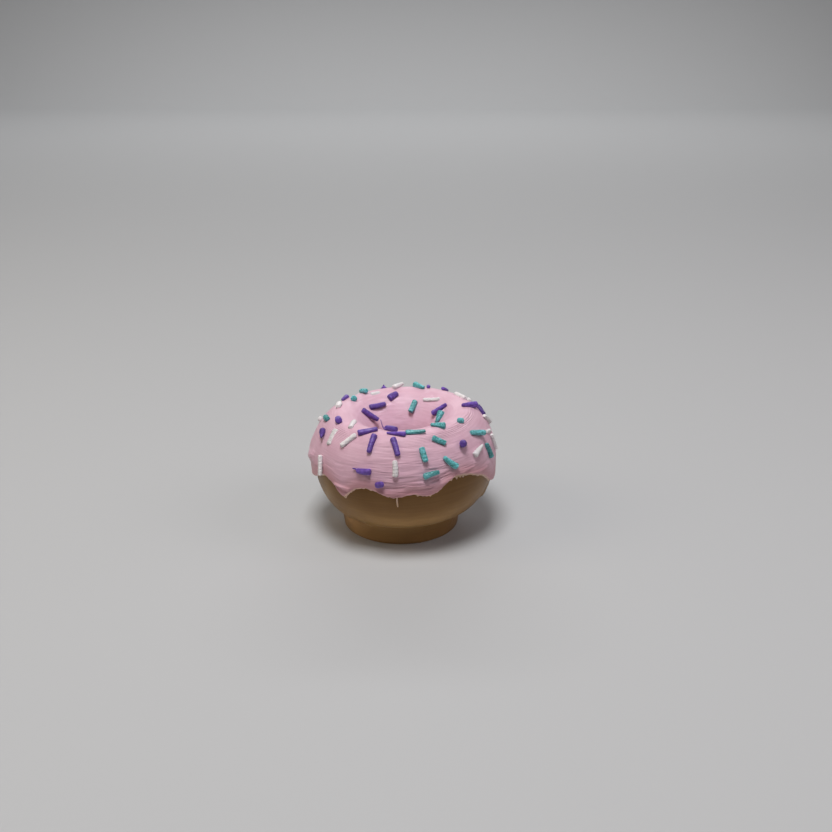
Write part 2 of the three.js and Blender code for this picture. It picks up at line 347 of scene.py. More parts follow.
class IcingSettings(bpy.types.PropertyGroup):
    """The coat of icing"""

    top: length("Thickness", "The coat's outer skin, above the dough", 0.001)
    sunk: length("Sunk", "How far the coat's inner skin lies in the dough", 0.0001)
    edge_level: number("Edge level", "Degrees down of a middling place on the outer edge", 88)
    hole_edge: number("Hole edge", "Degrees down of the edge in the hole", -98)
    hole_wave: number("Hole wave", "How many degrees that edge goes up and down", 5)
    hole_waves: count("Hole waves", "How often it does", 3)
    icing: colour("Icing", "The pink plastic", (0.78, 0.50, 0.605))
    icing_shade: colour("Icing shade", "The pink plastic where it is darker", (0.70, 0.42, 0.52))
    icing_low: colour("Low icing", "The pink plastic near the coat's edge", (0.52, 0.225, 0.24))
    fringe: colour("Fringe", "The thin edge, where pink and brown mix", (0.74, 0.52, 0.44))
    thread: colour("Thread", "The thread that hangs from the edge", (0.52, 0.35, 0.20))


class PrintSettings(bpy.types.PropertyGroup):
    """What the printer leaves on the surface"""

    layer: length("Layer", "Height of one layer", 0.0003)
    icing_groove: length("Icing groove", "Depth of the grooves between layers on the icing", 0.00002)
    dough_groove: length("Dough groove", "The same on the dough", 0.000008)
    rod_groove: length("Sprinkle groove", "The same on the sprinkles", 0.00008)
    fine_streak: length("Fine streak", "How far single layers of icing stand out", 0.00003)
    broad_streak: length("Broad streak", "How far bands of layers stand out", 0.00006)
    seed: count("Seed", "Start of the random draws", 7)


class SprinkleSettings(bpy.types.PropertyGroup):
    """The rod sprinkles"""

    radius: length("Radius", "Half a rod's width", 0.00071)
    end: length("End", "Length of a rod's rounded end", 0.00042)
    seat: length("Seat", "A lying rod's axis, above the icing", 0.00035)
    burial: length("Burial", "How deep the lower end of a standing rod goes", 0.0009)
    back_count: count("Back count", "Rods on the back", 18)
    back_from: number("Back from", "Degrees around where they start", 114)
    back_span: number("Back span", "Degrees around that they cover", 132)
    back_highest: number("Back highest", "Degrees down of the highest", 42)
    back_lowest: number("Back lowest", "Degrees down of the lowest", 84)
    golden_angle: number("Golden angle", "Spreads them evenly", 137.5)
    curl: colour("Curl", "The thread by the hole", (0.50, 0.30, 0.55))
    purple: colour("Purple", "Purple plastic", (0.175, 0.088, 0.45))
    purple_shade: colour("Purple shade", "Purple plastic where it is darker", (0.095, 0.044, 0.26))
    teal: colour("Teal", "Teal plastic", (0.15, 0.49, 0.54))
    teal_shade: colour("Teal shade", "Teal plastic where it is darker", (0.042, 0.235, 0.225))
    white: colour("White", "White plastic", (0.87, 0.835, 0.845))
    white_shade: colour("White shade", "White plastic where it is darker", (0.82, 0.775, 0.785))


class StudioSettings(bpy.types.PropertyGroup):
    """The floor, the lights and the camera"""

    floor: colour("Floor", "The floor and the sweep behind it", (0.503, 0.509, 0.518))
    camera_place: FloatVectorProperty(
        name="Camera place", description="Where the camera stands", subtype="TRANSLATION",
        default=(0.00359, -0.30809, 0.15357), precision=5,
    )
    camera_tilt: angle("Camera tilt", "Turn about X, 0 looks straight down", 1.197296)
    camera_view: angle("Camera view", "Width of the view", 0.698132)


SETTINGS = {
    "doughnut_ring": RingSettings,
    "doughnut_icing": IcingSettings,
    "doughnut_print": PrintSettings,
    "doughnut_sprinkles": SprinkleSettings,
    "doughnut_studio": StudioSettings,
}


# ---------------------------------------------------------------- shapes in numbers


def ring_point(around, down, height):
    """Points on the ring at two angles and a height above the dough, in the ring's own frame."""
    ring = bpy.context.scene.doughnut_ring
    around, down, height = np.broadcast_arrays(np.radians(around), np.radians(down), height)
    sine, cosine = np.sin(down), np.cos(down)
    power = ring.section_power
    stretch = (np.abs(sine) ** power + np.abs(cosine) ** power) ** (-1 / power)
    half_height = np.where(cosine > 0, ring.crown_height, ring.belly_depth)
    radius = ring.ring_radius + (ring.half_width + height) * sine * stretch
    level = (half_height + height) * cosine * stretch
    return np.stack((radius * np.sin(around), -radius * np.cos(around), level), axis=-1)


def turned(points, turn):
    """Points or directions turned about +Y."""
    return points @ np.array(Matrix.Rotation(turn, 3, "Y")).T


def in_place(points):
    """Points of the ring's own frame, where the part has them."""
    ring = bpy.context.scene.doughnut_ring
    return turned(points, ring.lean) + np.array((0, 0, ring.level))


def evenly_around(slices):
    """Angles around, evenly spread over a whole turn."""
    return np.arange(slices) * 360 / slices


def wrapped(degrees):
    """The same angle between -180 and 180."""
    return (degrees + 180) % 360 - 180


def bell(value, half_width):
    """1 at its middle, fading out a little past its half width."""
    return np.exp(-((value / half_width) ** 2))


def humps(around, table, height=0):
    """A height, and a bell on it for each row of a table: around, half as wide as, how high."""
    for at, half_width, extra in table:
        height = height + extra * bell(wrapped(around - at), half_width)
    return height


def patches(around, down, table):
    """The sum of soft round patches: around, half as wide as, down, half as high as, how much."""
    return sum(
        much * bell(wrapped(around - at), half_around) * bell(wrapped(down - at_down), half_down)
        for at, half_around, at_down, half_down, much in table
    )


def fold_height(first, second, table, first_mm, second_mm):
    """The height of a table's folds at two coordinates, each with its millimetres to a unit."""
    height = np.zeros(np.broadcast(first, second).shape)
    for rise, half_width, *places in table:
        for (first_a, second_a), (first_b, second_b) in zip(places, places[1:]):
            along = (first_b - first_a) * first_mm
            across = (second_b - second_a) * second_mm
            from_first = wrapped(first - first_a) * first_mm
            from_second = (second - second_a) * second_mm
            way = (from_first * along + from_second * across) / (along * along + across * across)
            way = np.clip(way, 0, 1)
            gap = np.hypot(from_first - way * along, from_second - way * across)
            height += rise * MM * bell(gap, half_width)
    return height


def smooth_step(value, low, high):
    """0 below low, 1 above high, smooth between them."""
    share = np.clip((value - low) / (high - low), 0, 1)
    return share * share * (3 - 2 * share)


def random_waves(around, lines, slowest, fastest, draw):
    """A smooth random line around the ring for each of some lines, about 1 high."""
    turns = np.arange(slowest, fastest + 1)
    size = draw.normal(size=(lines, len(turns), 1)) * np.sqrt(2 / len(turns))
    start = draw.uniform(0, 2 * np.pi, size=(lines, len(turns), 1))
    phase = turns[None, :, None] * np.radians(around)[None, None, :] + start
    return (size * np.cos(phase)).sum(axis=1)


def random_draw(step):
    """The random numbers of one step of the work, the same in every run."""
    return np.random.default_rng(bpy.context.scene.doughnut_print.seed + step)


# The outer edge is the mean of the table at these steps around, and wavers a little.
EDGE_STEPS = (-0.9, -0.45, 0, 0.45, 0.9)
EDGE_WAVER = 0.22
EDGE_WAVES = (50, 170)  # the fewest and most waves around the ring


def outer_edge(around):
    """How far down the outside the icing reaches."""
    at, down = np.array(EDGE).T
    edge = sum(np.interp(around + step, at, down, period=360) for step in EDGE_STEPS)
    waver = random_waves(around, 1, *EDGE_WAVES, random_draw(0))[0]
    return edge / len(EDGE_STEPS) + EDGE_WAVER * waver


def hole_edge(around):
    """How far down the hole the icing reaches."""
    icing = bpy.context.scene.doughnut_icing
    return icing.hole_edge + icing.hole_wave * np.cos(np.radians(around * icing.hole_waves))


def coat_height(around, down):
    """The height of the icing's outer skin above the dough, without what the print leaves on it."""
    return bpy.context.scene.doughnut_icing.top + MM * patches(around, down, SWELLS)


FINE_STEPS = 40000  # places down the ring that are tried for a row
STEEP = 0.57  # sine of the slope from which rows follow the layers
STEEP_GROOVE, FLAT_GROOVE = 0.6, 0.8  # a groove's half width, in rows


def print_rows(first, last, height, steps, flat_step):
    """Angles down the ring for a mesh's rows, each row's level, and how much of a groove it is. Where
    the side is steep, rows are level, with so many steps to a layer. Elsewhere they are even."""
    layer = bpy.context.scene.doughnut_print.layer
    down = np.linspace(first, last, FINE_STEPS)
    point = ring_point(0, down, height)
    rise, run = np.gradient(point[:, 2]), np.gradient(point[:, 1])
    way = np.hypot(rise, run)
    steep = np.abs(rise) > STEEP * way
    level_row = (np.diff(np.floor(point[:, 2] / layer * steps)) != 0) & steep[1:]
    flat_row = np.diff(np.floor(np.cumsum(np.where(steep, 0, way)) / flat_step)) != 0
    pick = np.flatnonzero(level_row | flat_row) + 1
    pick = np.concatenate(((0,), pick, (FINE_STEPS - 1,)))
    level = point[pick, 2]
    to_line = np.abs(level / layer - np.round(level / layer)) * layer * way[pick] / np.abs(rise[pick])
    half_width = np.where(steep[pick], layer / steps * STEEP_GROOVE, flat_step * FLAT_GROOVE)
    return down[pick], level, bell(to_line, half_width)


# ---------------------------------------------------------------- meshes


FACE_OUT = (bpy.ops.mesh.normals_make_consistent, {"inside": False})
JOIN_WITHIN = 0.000004
NO_LENGTH = 0.000001


def deselect():
    """Leaves nothing selected, and object mode on."""
    if bpy.context.object and bpy.context.object.mode != "OBJECT":
        bpy.ops.object.mode_set(mode="OBJECT")
    bpy.ops.object.select_all(action="DESELECT")
    bpy.context.view_layer.objects.active = None


def select(*objects):
    """Selects these objects only and makes the first the active one."""
    deselect()
    for obj in objects:
        obj.select_set(True)
    bpy.context.view_layer.objects.active = objects[0]


def edit(obj, *steps, select_all=True):
    """Runs some edit mode operators on an object's mesh, all of it or what is selected."""
    select(obj)
    bpy.ops.object.mode_set(mode="EDIT")
    if select_all:
        bpy.ops.mesh.select_all(action="SELECT")
    for operator, settings in steps:
        operator(**settings)
    bpy.ops.object.mode_set(mode="OBJECT")


def named(name):
    """The object that an operator just made, with its name."""
    obj = bpy.context.object
    obj.name = obj.data.name = name
    return obj


def coordinates(obj):
    """An object's vertex places."""
    points = np.empty(len(obj.data.vertices) * 3)
    obj.data.vertices.foreach_get("co", points)
    return points.reshape(-1, 3)


def place_vertices(obj, points):
    """Moves an object's vertices to these places."""
    obj.data.vertices.foreach_set("co", points.ravel())
    obj.data.update()


def normals(obj):
    """An object's vertex normals."""
    found = np.empty(len(obj.data.vertices) * 3)
    obj.data.vertex_normals.foreach_get("vector", found)
    return found.reshape(-1, 3)


def store(obj, name, values):
    """Keeps a number for each vertex, for the materials to read."""
    share = obj.data.attributes.new(name, "FLOAT", "POINT")
    share.data.foreach_set("value", np.asarray(values, dtype=np.float32))


def tube(name, points):
    """A grid whose opposite sides are brought together: a slice for each row of points, and in each
    slice a corner for each column."""
    deselect()
    slices, corners = points.shape[:2]
    bpy.ops.mesh.primitive_grid_add(x_subdivisions=slices, y_subdivisions=corners, size=0.04)
    obj = named(name)
    place_vertices(obj, np.pad(points, ((0, 1), (0, 1), (0, 0)), mode="wrap").transpose(1, 0, 2))
    edit(
        obj,
        (bpy.ops.mesh.remove_doubles, {"threshold": JOIN_WITHIN}),
        (bpy.ops.mesh.dissolve_degenerate, {"threshold": NO_LENGTH}),
    )
    return obj


def finish_piece(obj, material, replaces=None):
    """Gives a finished piece its material, smooth shading and body, and hides the CAD part that it
    replaces.
    """
    obj.data.materials.clear()
    obj.data.materials.append(material)
    select(obj)
    bpy.ops.object.shade_smooth()
    deselect()
    if replaces:
        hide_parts(replaces)
    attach(obj, "root")


# ---------------------------------------------------------------- materials


SHADER = "Principled BSDF"


def new_group(name, inputs, outputs):
    """An empty shader node group with these sockets, the sockets that its nodes read, and the node
    that takes what it puts out."""
    group = bpy.data.node_groups.new(name, "ShaderNodeTree")
    for label, kind, value in inputs:
        group.interface.new_socket(label, in_out="INPUT", socket_type=kind).default_value = value
    for label, kind in outputs:
        group.interface.new_socket(label, in_out="OUTPUT", socket_type=kind)
    return group, group.nodes.new("NodeGroupInput").outputs, group.nodes.new("NodeGroupOutput")


def feed(node, inputs):
    """Sets inputs of a node to values, or links sockets to them."""
    for key, value in inputs.items():
        if isinstance(value, bpy.types.NodeSocket):
            node.id_data.links.new(value, node.inputs[key])
        else:
            node.inputs[key].default_value = value


def add_node(tree, kind, inputs, **settings):
    """A node with some of its settings and inputs."""
    node = tree.nodes.new(kind)
    for key, value in settings.items():
        setattr(node, key, value)
    feed(node, inputs)
    return node


def math_node(tree, operation, *values):
    """A Math node on some sockets or numbers, and its result."""
    return add_node(tree, "ShaderNodeMath", dict(enumerate(values)), operation=operation).outputs[0]


def noise(tree, inputs):
    """A noise, and its value."""
    return add_node(tree, "ShaderNodeTexNoise", inputs).outputs["Fac"]


def mix(tree, share, first, second):
    """A mix of two colours, and its result."""
    inputs = {"Factor": share, "A": first, "B": second}
    return add_node(tree, "ShaderNodeMix", inputs, data_type="RGBA").outputs["Result"]


def bump_node(tree, depth, inputs):
    """A Bump node of some depth in metres."""
    return add_node(tree, "ShaderNodeBump", {"Strength": 1.0, "Distance": depth, **inputs})


def attribute(tree, name):
    """A number that a piece keeps for each vertex."""
    return add_node(tree, "ShaderNodeAttribute", {}, attribute_name=name).outputs["Fac"]


def object_place(tree):
    """The place of a point on its piece."""
    return tree.nodes.new("ShaderNodeTexCoord").outputs["Object"]


def opaque(tint, share=1):
    """A colour for a socket, lighter or darker by a share."""
    return (*(part * share for part in tint), 1)


def layer_lines_group():
    """The print's layer lines, as a height and a tone, level in the ring's own frame."""
    group, given, leave = new_group(
        "print_layer_lines",
        (("Layers a Metre", "NodeSocketFloat", 3333.0), ("Wander", "NodeSocketFloat", 0.2)),
        (("Height", "NodeSocketFloat"), ("Streak", "NodeSocketFloat")),
    )
    upright = (0, -bpy.context.scene.doughnut_ring.lean, 0)
    place = add_node(group, "ShaderNodeMapping", {"Vector": object_place(group), "Rotation": upright})
    place = place.outputs["Vector"]
    level = add_node(group, "ShaderNodeSeparateXYZ", {"Vector": place}).outputs["Z"]
    layers = math_node(group, "MULTIPLY", level, given["Layers a Metre"])
    wander = noise(group, {"Vector": place, "Scale": 160.0, "Detail": 1.0})
    bend = math_node(group, "MULTIPLY", wander, given["Wander"])
    turn = math_node(group, "MULTIPLY", math_node(group, "ADD", layers, bend), 2 * np.pi)
    wave = math_node(group, "COSINE", turn)
    flat = add_node(group, "ShaderNodeMapping", {"Vector": place, "Scale": (90, 90, 2200)})
    streak = noise(group, {"Vector": flat.outputs["Vector"], "Scale": 1.0, "Detail": 2.0})
    feed(leave, {"Height": math_node(group, "MULTIPLY_ADD", wave, 0.5, 0.5), "Streak": streak})
    return group


def tone_group():
    """Two tones of one plastic, mixed in soft patches and along the layers, and a gloss to match."""
    group, given, leave = new_group(
        "plastic_tone",
        (
            ("Light", "NodeSocketColor", (1, 1, 1, 1)),
            ("Dark", "NodeSocketColor", (0, 0, 0, 1)),
            ("Streak", "NodeSocketFloat", 0.5),
            ("Patch Size", "NodeSocketFloat", 300.0),
            ("Roughness", "NodeSocketFloat", 0.45),
            ("Softness", "NodeSocketFloat", 0.3),
        ),
        (("Color", "NodeSocketColor"), ("Roughness", "NodeSocketFloat")),
    )
    patch = noise(group, {"Vector": object_place(group), "Scale": given["Patch Size"], "Detail": 3.0})
    ends = {
        "Value": math_node(group, "ADD", patch, given["Streak"]),
        "From Min": math_node(group, "SUBTRACT", 1.0, given["Softness"]),
        "From Max": math_node(group, "ADD", 1.0, given["Softness"]),
    }
    share = add_node(group, "ShaderNodeMapRange", ends).outputs["Result"]
    uneven = math_node(group, "MULTIPLY", math_node(group, "SUBTRACT", patch, 0.5), 0.25)
    roughness = math_node(group, "ADD", given["Roughness"], uneven)
    feed(leave, {"Color": mix(group, share, given["Light"], given["Dark"]), "Roughness": roughness})
    return group


GROUPS = {"print_layer_lines": layer_lines_group, "plastic_tone": tone_group}


def shared_group(tree, name, inputs):
    """A node of a group, which is built the first time it is asked for."""
    group = bpy.data.node_groups.get(name) or GROUPS[name]()
    return add_node(tree, "ShaderNodeGroup", inputs, node_tree=group)


def layer_lines(tree, lines, wander):
    """A node of layer lines, with so many of them to a layer's height."""
    density = lines / bpy.context.scene.doughnut_print.layer
    return shared_group(tree, "print_layer_lines", {"Layers a Metre": density, "Wander": wander})


def plastic(name, light, dark, *, roughness, bump, patch, wander=0.2, gloss=0.5, softness=0.3):
    """A printed plastic in two tones, and its tree, in which nodes named tone and relief stay free for
    more."""
    material = bpy.data.materials.new(name)
    material.use_nodes = True
    material.diffuse_color = opaque(light)
    tree = material.node_tree
    lines = layer_lines(tree, 1, wander)
    tones = {"Light": opaque(light), "Dark": opaque(dark), "Streak": lines.outputs["Streak"]}
    values = {"Patch Size": patch, "Roughness": roughness, "Softness": softness}
    tone = shared_group(tree, "plastic_tone", {**tones, **values})
    relief = bump_node(tree, bump, {"Height": lines.outputs["Height"]})
    tone.name, relief.name = "tone", "relief"
    finish = {
        "Base Color": tone.outputs["Color"],
        "Roughness": tone.outputs["Roughness"],
        "Normal": relief.outputs["Normal"],
        "IOR": 1.46,
        "Specular IOR Level": gloss,
    }
    feed(tree.nodes[SHADER], finish)
    return material, tree


STEP_LINES = 1.1  # to a layer's height
STEP_DEPTH = 0.00016
STEP_SHARPNESS = 0.4
# Painted shade: dark lines drawn in the grooves of the steps, where shade falls.
STEP_LINE = 6.0  # the higher, the thinner the dark lines
STEP_PAINTED_SHADE = 0.35


def icing_material():
    """Pink plastic with steps where the crown's layers end, and painted shade in dark lines along them.
    It is darker near the coat's edge and turns to the fringe's colour on it."""
    icing = bpy.context.scene.doughnut_icing
    material, tree = plastic(
        "icing_plastic", icing.icing, icing.icing_shade,
        roughness=0.47, bump=0.000006, patch=220.0, gloss=0.35,
    )
    ridge_and_shade_mask = attribute(tree, "ridge_share")
    height = layer_lines(tree, STEP_LINES, wander=0.3).outputs["Height"]
    step = math_node(tree, "MULTIPLY", math_node(tree, "POWER", height, STEP_SHARPNESS), ridge_and_shade_mask)
    # Painted shade along the steps' grooves, mixed towards a darker copy of the icing's shade colour.
    line = math_node(tree, "POWER", math_node(tree, "SUBTRACT", 1.0, height), STEP_LINE)
    line = math_node(tree, "MULTIPLY", math_node(tree, "MULTIPLY", line, ridge_and_shade_mask), STEP_PAINTED_SHADE)
    tint = mix(tree, line, tree.nodes["tone"].outputs["Color"], opaque(icing.icing_shade, 0.6))
    tint = mix(tree, attribute(tree, "low_share"), tint, opaque(icing.icing_low))
    tint = mix(tree, attribute(tree, "edge_share"), tint, opaque(icing.fringe))
    relief = {"Height": step, "Normal": tree.nodes["relief"].outputs["Normal"]}
    steps = bump_node(tree, STEP_DEPTH, relief)
    feed(tree.nodes[SHADER], {"Base Color": tint, "Normal": steps.outputs["Normal"]})
    return material


# Painted light and shade on each rod, as a change in lightness.
PAINTED_LIGHT_STEP = 0.3  # how much lighter a tone of 1 makes a rod


def rod_material(name, roughness, patch, softness):
    """A colour's plastic, lighter or darker for each rod by its tone, which is painted light and shade."""
    sprinkles = bpy.context.scene.doughnut_sprinkles
    light, dark = getattr(sprinkles, name), getattr(sprinkles, name + "_shade")
    material, tree = plastic(
        name + "_plastic", light, dark, roughness=roughness, bump=0.000012, patch=patch, softness=softness
    )
    shift = math_node(tree, "MULTIPLY", attribute(tree, "rod_tone"), PAINTED_LIGHT_STEP)
    tint = {"Value": math_node(tree, "ADD", shift, 1.0), "Color": tree.nodes["tone"].outputs["Color"]}
    shifted = add_node(tree, "ShaderNodeHueSaturation", tint)
    feed(tree.nodes[SHADER], {"Base Color": shifted.outputs["Color"]})
    return material


def floor_material():
    """A matt paint, a little cloudy."""
    material = bpy.data.materials.new("floor_paint")
    material.use_nodes = True
    tree = material.node_tree
    base = bpy.context.scene.doughnut_studio.floor
    cloud = noise(tree, {"Vector": object_place(tree), "Scale": 3.0, "Detail": 2.0})
    tint = mix(tree, cloud, opaque(base, 0.985), opaque(base, 1.015))
    finish = {"Base Color": tint, "Roughness": 0.75, "Specular IOR Level": 0.2}
    feed(tree.nodes[SHADER], finish)
    return material


# ---------------------------------------------------------------- pieces


class DOUGHNUT_OT_dough(bpy.types.Operator):
    """The brown ring, fused to its foot"""

    bl_idname = "doughnut.dough"
    bl_label = "Dough"

    slices = 232
    foot_slices = 208
    covered_rows = 16
    wall_rows = 34
    edge, underside, edge_in_hole = 76, 181, 268  # degrees down, where its rows change
    steps = 3  # rows to a layer where it shows
    rounding = 0.00018  # of the foot's lower edge

    def ring(self):
        """The ring, with fine rows outside, coarser ones in the hole and few under the icing."""
        around = evenly_around(self.slices)[:, None]
        outside, _, groove = print_rows(self.edge, self.underside, 0, self.steps, flat_step=0.0004)
        inside = print_rows(self.underside, self.edge_in_hole, 0, 1, flat_step=0.0005)[0][1:]
        covered = np.linspace(self.edge_in_hole, self.edge + 360, self.covered_rows)[1:-1]
        down = np.concatenate((outside, inside, covered))[::-1]
        groove = np.pad(groove, (0, len(inside) + len(covered)))[::-1]
        height = fold_height(around, down[None, :], RING_MARKS, RING_DEGREE, EDGE_DEGREE)
        height -= bpy.context.scene.doughnut_print.dough_groove * groove
        return tube("dough_body", in_place(ring_point(around, down[None, :], height)))

    def foot_profile(self):
        """The foot's section from outside on the floor up and down again: radius, level, how much of a
        groove it is, and whether it is outside."""
        ring = bpy.context.scene.doughnut_ring
        step = bpy.context.scene.doughnut_print.layer / self.steps
        soft = self.rounding
        rise = np.arange(step * 2, ring.foot_top, step)
        radius = ring.foot_radius + (ring.foot_top_radius - ring.foot_radius) * (rise / ring.foot_top)
        groove = bell((np.arange(len(rise)) + 2) % self.steps, 0.5)
        profile = [(ring.foot_radius - soft, 0, 0, 1), (ring.foot_radius - soft * 0.3, soft * 0.3, 0, 1)]
        profile += [(*row, 1) for row in zip(radius, rise, groove)]
        widening = ring.foot_hole_top_radius - ring.foot_hole_radius
        for up in np.linspace(ring.foot_top, soft, self.wall_rows):
            profile.append((ring.foot_hole_radius + widening * up / ring.foot_top, up, 0, 0))
        profile.append((ring.foot_hole_radius + soft, 0, 0, 0))
        return np.array(profile).T[:, None, :]

    def foot(self):
        """The collar under the ring, an open tube with a wall that widens upwards."""
        around = evenly_around(self.foot_slices)[:, None]
        radius, level, groove, outside = self.foot_profile()
        marks = fold_height(around, level / MM, FOOT_MARKS, FOOT_DEGREE, 1.0)
        radius = radius - bpy.context.scene.doughnut_print.dough_groove * groove + marks * outside
        turn, level = np.radians(around), np.broadcast_to(level, radius.shape)
        shift = bpy.context.scene.doughnut_ring.foot_shift
        return tube(
            "dough_foot", np.stack((shift + radius * np.sin(turn), -radius * np.cos(turn), level), axis=-1)
        )

    def execute(self, context):
        ring = context.scene.doughnut_ring
        body, foot = self.ring(), self.foot()
        select(body)
        fuse = body.modifiers.new("fuse", "BOOLEAN")
        fuse.operation, fuse.solver, fuse.object = "UNION", "MANIFOLD", foot
        bpy.ops.object.modifier_apply(modifier=fuse.name)
        bpy.data.meshes.remove(foot.data)
        material, tree = plastic(
            "dough_plastic", ring.dough, ring.dough_shade,
            roughness=0.4, bump=0.000003, patch=120.0, wander=0.1, gloss=0.22,
        )
        feed(tree.nodes[SHADER], {"Specular Tint": (1, 0.8, 0.58, 1)})
        finish_piece(body, material, "dough")
        return {"FINISHED"}


class DOUGHNUT_OT_icing(bpy.types.Operator):
    """The coat of icing, with the print's layers and streaks in its surface"""

    bl_idname = "doughnut.icing"
    bl_label = "Icing"

    front_slices = 216
    back_slices = 92
    inner_rows = 12
    side = 104  # degrees around where the back's wider slices start
    lowest, lowest_in_hole = 118, -105  # degrees down
    follow = 0.4  # how much the rows run along with the edge
    follow_from, follow_to = 45, 95  # degrees down where they begin to, and where they do
    bend = 0.4  # degrees that the rows go up and down
    bend_from, bend_to = 4, 30
    roughness = 0.3
    rough_from, rough_to = 50, 88  # degrees down where the side gets rougher, and where it is
    rounding = 0.5  # millimetres from the edge over which the skin rounds off
    edge_thickness = 0.35  # of the whole
    band = 2.6  # layers
    layer_waves, band_waves = (2, 22), (2, 15)  # the fewest and most around the ring
    on_edge, near_edge = 0.34, 3.6  # millimetres over which the edge's colours fade
    near_share = 0.7

    def slice_angles(self):
        """Angles around for the coat's slices, closer together at the front."""
        front = np.linspace(-self.side, self.side, self.front_slices, endpoint=False)
        back = np.linspace(self.side, 360 - self.side, self.back_slices, endpoint=False)
        return np.concatenate((front, back))

    def streaks(self, around, level):
        """How far each row of each slice stands out: single layers, and bands of them."""
        settings = bpy.context.scene.doughnut_print
        draw = random_draw(1)
        layer = np.floor(level / settings.layer + 0.01).astype(int)
        layer -= layer.min()
        single = random_waves(around, layer.max() + 1, *self.layer_waves, draw)[layer]
        place = (level - level.min()) / (settings.layer * self.band)
        bands = random_waves(around, int(place.max()) + 2, *self.band_waves, draw)
        band = np.floor(place).astype(int)
        share = (place - band)[:, None]
        broad = bands[band] * (1 - share) + bands[band + 1] * share
        return settings.fine_streak * single.T + settings.broad_streak * broad.T

    def execute(self, context):
        icing = context.scene.doughnut_icing
        around = self.slice_angles()
        turn = around[:, None]
        first, last = hole_edge(around)[:, None], outer_edge(around)[:, None]
        outside = print_rows(0, self.lowest, icing.top, 3, flat_step=0.00016)
        inside = print_rows(0, self.lowest_in_hole, icing.top, 2, flat_step=0.00018)
        rows, level, groove = (np.concatenate((a[::-1], b[1:])) for a, b in zip(outside, inside))

        # Rows bend a little, and run along with the edge near it.
        follow = self.follow * smooth_step(rows, self.follow_from, self.follow_to)
        bend = self.bend * np.sin(np.radians(3 * turn + 2.2 * rows))
        bend = bend * smooth_step(np.abs(rows), self.bend_from, self.bend_to)
        down = np.clip(rows + follow * (last - icing.edge_level) + bend, first, last)

        # The skin rounds off near its edges, where the print's marks fade out too.
        rough = humps(turn, ROUGHER, self.roughness)
        rough = rough * (0.7 + 0.9 * smooth_step(rows, self.rough_from, self.rough_to))
        marks = rough * self.streaks(around, level) - context.scene.doughnut_print.icing_groove * groove
        to_edge = np.minimum(last - down, down - first) * EDGE_DEGREE
        inward = np.clip(to_edge / self.rounding, 0, 1)
        thick = self.edge_thickness + (1 - self.edge_thickness) * np.sqrt(1 - (1 - inward) ** 2)
        height = coat_height(turn, down) + fold_height(turn, down, FOLDS, RING_DEGREE, ICING_DEGREE)
        height = height * thick + marks * inward

        inner_down = first + (last - first) * np.linspace(0, 1, self.inner_rows)
        down = np.concatenate((down, inner_down), axis=1)
        height = np.concatenate((height, np.full(inner_down.shape, -icing.sunk)), axis=1)
        coat = tube("icing_coat", in_place(ring_point(turn, down, height)))
        self.mark(coat)
        finish_piece(coat, icing_material(), "icing")
        return {"FINISHED"}

    def mark(self, coat):
        """Stores how much each vertex is on the outer edge, near it, and where layers end in steps with
        painted shade.
        """
        ring = bpy.context.scene.doughnut_ring
        x, y, level = turned(coordinates(coat) - np.array((0, 0, ring.level)), -ring.lean).T
        around = np.degrees(np.arctan2(x, -y))
        grid = np.linspace(-180, 180, 2881)
        edge = np.interp(around, grid, outer_edge(grid))
        out = (np.hypot(x, y) - ring.ring_radius) / ring.half_width
        up = level / np.where(level > 0, ring.crown_height, ring.belly_depth)
        down = np.degrees(np.arctan2(out, up))
        gap = np.abs(edge - down) * EDGE_DEGREE
        store(coat, "edge_share", bell(gap, self.on_edge))
        store(coat, "low_share", self.near_share * bell(gap, self.near_edge))
        store(coat, "ridge_share", np.clip(patches(around, down, RIDGED), 0, 1))


class DOUGHNUT_OT_fringe(bpy.types.Operator):
    """The thin bead along the icing's outer edge, and its burrs"""

    bl_idname = "doughnut.fringe"
    bl_label = "Fringe"

    slices = 1440
    corners = 8
    half_width, uneven_width, narrowest = 0.5, 0.18, 0.3  # degrees down
    below_edge = 0.2  # degrees down
    half_height, uneven_height, level = 0.2, 0.03, 0.16  # millimetres
    waves = (60, 260)  # the fewest and most around the ring

    def execute(self, context):
        icing = context.scene.doughnut_icing
        around = evenly_around(self.slices)
        hang = humps(around, BURRS)
        uneven = random_waves(around, 2, *self.waves, random_draw(2))
        half_width = humps(around, WIDER, self.half_width) + self.uneven_width * uneven[0] + 0.5 * hang
        half_width = np.maximum(half_width, self.narrowest)[:, None]
        half_height = (self.half_height + self.uneven_height * uneven[1])[:, None] * MM
        corner = np.radians(90 - evenly_around(self.corners))
        middle = outer_edge(around) + self.below_edge + 0.45 * hang
        down = middle[:, None] + half_width * np.cos(corner)
        height = self.level * MM + half_height * np.sin(corner)
        bead = tube("icing_fringe", in_place(ring_point(around[:, None], down, height))[:, ::-1])
        edit(bead, FACE_OUT)
        material, _ = plastic(
            "fringe_plastic", icing.fringe, icing.thread, roughness=0.5, bump=0.000004, patch=500.0
        )
        finish_piece(bead, material)
        return {"FINISHED"}


